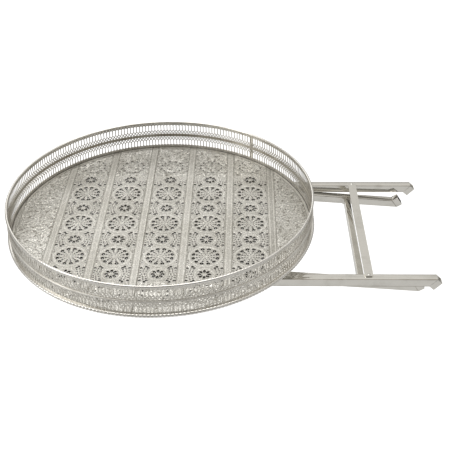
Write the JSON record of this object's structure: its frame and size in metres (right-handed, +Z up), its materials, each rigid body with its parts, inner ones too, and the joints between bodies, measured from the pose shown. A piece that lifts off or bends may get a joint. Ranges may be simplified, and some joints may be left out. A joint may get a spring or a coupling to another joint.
{
  "type": "folding tray table",
  "caption": "Round metal tray with a pierced two-tier gallery and chased floor, on a folding stand of crossed square-tube frames.",
  "frame": {"origin": "middle of the top face of the tray floor", "axes": "+Z up out of the tray, +X towards the feet of the folded stand, +Y across the stand"},
  "size_m": [0.8332, 0.6066, 0.1249],
  "materials": {
    "pierced_sheet": "nickel-plated brass sheet, pierced and chased, satin polish",
    "polished_trim": "nickel-plated brass, bright polish",
    "plated_tube": "nickel-plated steel tube, bright polish with hairline wear",
    "under_iron": "plated steel strip, dull",
    "fasteners": "plated steel, rubbed bright on the heads"
  },
  "bodies": {
    "tray": {"tray_floor": "pierced_sheet", "gallery_lower_band": "pierced_sheet", "gallery_upper_band": "pierced_sheet", "mid_rail": "polished_trim", "top_rim": "polished_trim", "foot_ring": "polished_trim", "seam_strap": "polished_trim", "hinge_batten": "under_iron", "catch_batten": "under_iron", "hinge_bracket_near": "under_iron", "hinge_bracket_far": "under_iron", "hinge_pin_near": "fasteners", "hinge_pin_far": "fasteners", "catch_clip_near": "under_iron", "catch_clip_far": "under_iron", "batten_rivets": "fasteners", "bracket_rivets": "fasteners", "clip_rivets": "fasteners"},
    "inner_frame": {"inner_leg_near": "plated_tube", "inner_leg_far": "plated_tube", "inner_crossbar": "plated_tube", "inner_toe_near": "plated_tube", "inner_toe_far": "plated_tube"},
    "outer_frame": {"outer_leg_near": "plated_tube", "outer_leg_far": "plated_tube", "outer_crossbar": "plated_tube", "outer_crossbar_rivets": "fasteners", "outer_top_rod": "plated_tube", "outer_toe_near": "plated_tube", "outer_toe_far": "plated_tube", "pivot_pin_near": "fasteners", "pivot_pin_far": "fasteners", "pivot_washer_near": "fasteners", "pivot_washer_far": "fasteners"}
  },
  "joints": [
    {"name": "stand_fold", "type": "hinge", "parent": "tray", "child": "inner_frame", "pos_m": [0.06, 0, -0.01782], "axis": [0, 1, 0], "range_deg": [0, 122.4]},
    {"name": "leg_scissor", "type": "hinge", "parent": "inner_frame", "child": "outer_frame", "pos_m": [0.155, 0, -0.0253], "axis": [0, 1, 0], "range_deg": [-74.9, 0]}
  ],
  "couplings": [
    {"joint": "leg_scissor", "follows": "stand_fold", "ratio": -0.60809}
  ]
}
